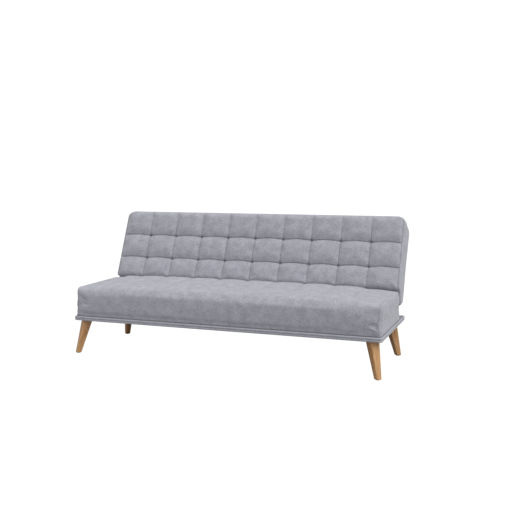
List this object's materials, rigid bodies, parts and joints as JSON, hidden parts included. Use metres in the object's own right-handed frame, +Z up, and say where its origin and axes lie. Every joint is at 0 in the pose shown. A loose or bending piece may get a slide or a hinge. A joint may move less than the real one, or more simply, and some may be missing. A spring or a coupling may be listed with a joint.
{
  "type": "futon sofa bed",
  "caption": "Armless click-clack sofa bed with a tufted seat and reclining back on an upholstered base board and splayed wooden legs.",
  "frame": {"origin": "on the floor under the middle of the whole sofa with the back upright", "axes": "+X to the right of someone facing the sofa, +Y to the back, +Z up"},
  "size_m": [1.79, 0.8155, 0.7899],
  "materials": {
    "fabric": "matte",
    "wood": "satin",
    "plywood": "matte",
    "foam": "matte",
    "steel": "satin",
    "spring": "satin",
    "cambric": "matte",
    "nylon": "matte"
  },
  "bodies": {
    "base": {"base_board_left": "plywood", "base_board_right": "plywood", "base_cover": "fabric", "base_cross_rail_left": "plywood", "base_cross_rail_right": "plywood", "base_dust_cover": "cambric", "base_rail_front": "plywood", "base_rail_rear": "plywood", "glide_front_left": "nylon", "glide_front_right": "nylon", "glide_rear_left": "nylon", "glide_rear_right": "nylon", "hinge_bracket_left": "steel", "hinge_bracket_right": "steel", "leg_bolt_front_left": "steel", "leg_bolt_front_right": "steel", "leg_bolt_rear_left": "steel", "leg_bolt_rear_right": "steel", "leg_front_left": "wood", "leg_front_right": "wood", "leg_rear_left": "wood", "leg_rear_right": "wood", "pawl_pin_left": "steel", "pawl_pin_right": "steel", "pawl_spring_left": "spring", "pawl_spring_right": "spring", "pivot_bolt_left": "steel", "pivot_bolt_right": "steel", "pivot_nut_left": "steel", "pivot_nut_right": "steel", "seat_cover": "fabric", "seat_foam": "foam", "seat_rail_front": "plywood", "seat_rail_left": "plywood", "seat_rail_middle": "plywood", "seat_rail_rear": "plywood", "seat_rail_right": "plywood", "seat_spring_1": "spring", "seat_spring_2": "spring", "seat_spring_3": "spring", "seat_spring_4": "spring"},
    "back": {"back_cover": "fabric", "back_foam": "foam", "back_panel": "fabric", "back_rail_bottom": "plywood", "back_rail_top": "plywood", "back_spring_1": "spring", "back_spring_2": "spring", "back_spring_3": "spring", "back_spring_4": "spring", "back_stile_left": "plywood", "back_stile_middle": "plywood", "back_stile_right": "plywood", "hinge_arm_left": "steel", "hinge_arm_right": "steel"},
    "pawl_left": {"pawl_left": "steel"},
    "pawl_right": {"pawl_right": "steel"}
  },
  "joints": [
    {"name": "back_recline", "type": "hinge", "parent": "base", "child": "back", "pos_m": [0, 0.178, 0.26], "axis": [-1, 0, 0], "range_deg": [-8, 66.44]},
    {"name": "pawl_left_lift", "type": "hinge", "parent": "base", "child": "pawl_left", "pos_m": [-0.83, 0.152, 0.231], "axis": [1, 0, 0], "range_deg": [0, 8], "stiffness_Nm_per_rad": 0.05},
    {"name": "pawl_right_lift", "type": "hinge", "parent": "base", "child": "pawl_right", "pos_m": [0.83, 0.152, 0.231], "axis": [1, 0, 0], "range_deg": [0, 8], "stiffness_Nm_per_rad": 0.05}
  ]
}
